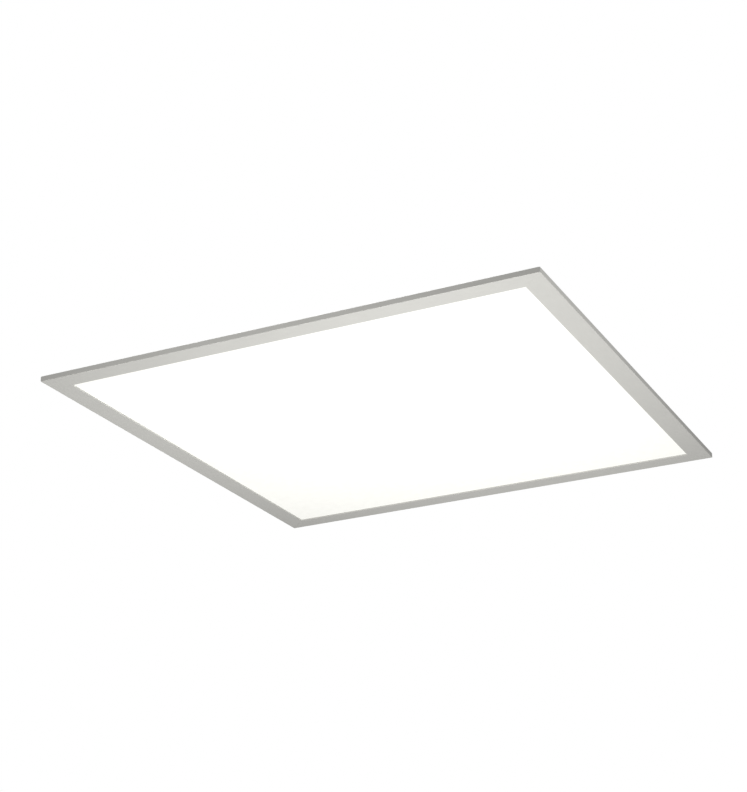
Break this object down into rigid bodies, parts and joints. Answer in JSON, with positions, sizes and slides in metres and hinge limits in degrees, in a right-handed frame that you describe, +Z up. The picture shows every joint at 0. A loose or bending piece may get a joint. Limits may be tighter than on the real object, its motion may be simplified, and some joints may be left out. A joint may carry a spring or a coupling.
{
  "type": "led panel light",
  "caption": "Thin square edge-lit ceiling panel with a flat bezel, a lit opal face and a driver box on its back.",
  "frame": {"origin": "centre of the bezel's lower face, which rests on the ceiling grid", "axes": "+Z up, away from the lit face, into the ceiling; +X towards the supply entry; the LED boards lie along the +Y and -Y rails"},
  "size_m": [0.595, 0.595, 0.0396],
  "materials": {
    "frame_silver": "satin silver anodised aluminium, drawn lengthwise",
    "die_cast_zinc": "dull die-cast zinc",
    "zinc_plated_steel": "bright zinc plate",
    "opal_diffuser": "lit opal sheet, even white",
    "clear_acrylic": "clear acrylic with an etched dot pattern",
    "white_film": "matt white reflector film",
    "grey_foam": "soft closed-cell foam",
    "white_circuit_board": "white solder mask on an aluminium board",
    "led_phosphor": "yellow phosphor in a white package",
    "thermal_tape": "grey thermal tape",
    "black_rubber": "matt black rubber",
    "white_enamel": "semi-gloss white powder coat on sheet steel",
    "red_wire": "red PVC insulation",
    "black_wire": "black PVC insulation",
    "white_wire": "white PVC insulation",
    "green_wire": "green PVC insulation",
    "aluminium_rivet": "bright aluminium",
    "black_plastic": "fine-grained black nylon",
    "green_screw": "green-dyed zinc plate",
    "light_grey_plastic": "light grey polyamide",
    "white_plastic": "fine-grained white polycarbonate",
    "green_circuit_board": "green solder mask",
    "transformer_tape": "yellow polyester tape",
    "capacitor_sleeve": "dark blue shrink sleeve",
    "ferrite": "dark sintered ferrite",
    "bare_aluminium": "bare extruded aluminium",
    "switch_steel": "tinned steel switch shell",
    "galvanised_steel": "galvanised spring-steel strip"
  },
  "bodies": {
    "luminaire": {"frame_rail_south": "frame_silver", "frame_rail_east": "frame_silver", "frame_rail_north": "frame_silver", "frame_rail_west": "frame_silver", "corner_keys": "die_cast_zinc", "corner_key_screws": "zinc_plated_steel", "diffuser": "opal_diffuser", "light_guide": "clear_acrylic", "reflector": "white_film", "foam_backing": "grey_foam", "led_board_south": "white_circuit_board", "led_board_north": "white_circuit_board", "led_chips_south": "led_phosphor", "led_chips_north": "led_phosphor", "thermal_tapes": "thermal_tape", "edge_spacers": "black_rubber", "back_cover": "white_enamel", "back_cover_screws": "zinc_plated_steel", "suspension_nuts": "zinc_plated_steel", "wire_grommet": "black_rubber", "dc_wires_positive": "red_wire", "dc_wires_negative": "black_wire", "driver_tray": "white_enamel", "tray_screws": "zinc_plated_steel", "supply_end_plate": "white_enamel", "switch_end_plate": "white_enamel", "end_plate_rivets": "aluminium_rivet", "partition_plate": "white_enamel", "driver_cover": "white_enamel", "driver_cover_screws": "zinc_plated_steel", "door_hinge_pins": "zinc_plated_steel", "cable_bushing": "black_plastic", "knockout_slugs": "white_enamel", "ground_screw": "green_screw", "mains_terminal": "light_grey_plastic", "line_wire": "black_wire", "neutral_wire": "white_wire", "earth_wires": "green_wire", "driver_case": "white_plastic", "driver_case_lid": "white_plastic", "driver_pads": "grey_foam", "driver_board": "green_circuit_board", "driver_terminals": "light_grey_plastic", "driver_transformer": "transformer_tape", "driver_capacitors": "capacitor_sleeve", "driver_choke": "ferrite", "driver_heat_sink": "bare_aluminium", "switch_bodies": "switch_steel", "switch_surround": "black_plastic", "clip_brackets": "galvanised_steel", "clip_pins": "zinc_plated_steel", "bracket_rivets": "aluminium_rivet"},
    "access_door": {"access_door": "white_enamel"},
    "colour_knob": {"colour_switch_knob": "white_plastic"},
    "power_knob": {"power_switch_knob": "white_plastic"},
    "clip_ne": {"grid_clip_ne": "galvanised_steel"},
    "clip_nw": {"grid_clip_nw": "galvanised_steel"},
    "clip_sw": {"grid_clip_sw": "galvanised_steel"},
    "clip_se": {"grid_clip_se": "galvanised_steel"}
  },
  "joints": [
    {"name": "door_hinge", "type": "hinge", "parent": "luminaire", "child": "access_door", "pos_m": [0.11, 0.0576, 0.0361], "axis": [-1, 0, 0], "range_deg": [0, 110]},
    {"name": "colour_slide", "type": "slide", "parent": "luminaire", "child": "colour_knob", "axis": [0, 1, 0], "range_m": [-0.002, 0.002]},
    {"name": "power_slide", "type": "slide", "parent": "luminaire", "child": "power_knob", "axis": [0, 1, 0], "range_m": [-0.002, 0.002]},
    {"name": "clip_ne_flip", "type": "hinge", "parent": "luminaire", "child": "clip_ne", "pos_m": [0.2815, 0.2, 0.0122], "axis": [0, 1, 0], "range_deg": [0, 90]},
    {"name": "clip_nw_flip", "type": "hinge", "parent": "luminaire", "child": "clip_nw", "pos_m": [-0.2815, 0.2, 0.0122], "axis": [0, -1, 0], "range_deg": [0, 90]},
    {"name": "clip_sw_flip", "type": "hinge", "parent": "luminaire", "child": "clip_sw", "pos_m": [-0.2815, -0.2, 0.0122], "axis": [0, -1, 0], "range_deg": [0, 90]},
    {"name": "clip_se_flip", "type": "hinge", "parent": "luminaire", "child": "clip_se", "pos_m": [0.2815, -0.2, 0.0122], "axis": [0, 1, 0], "range_deg": [0, 90]}
  ]
}
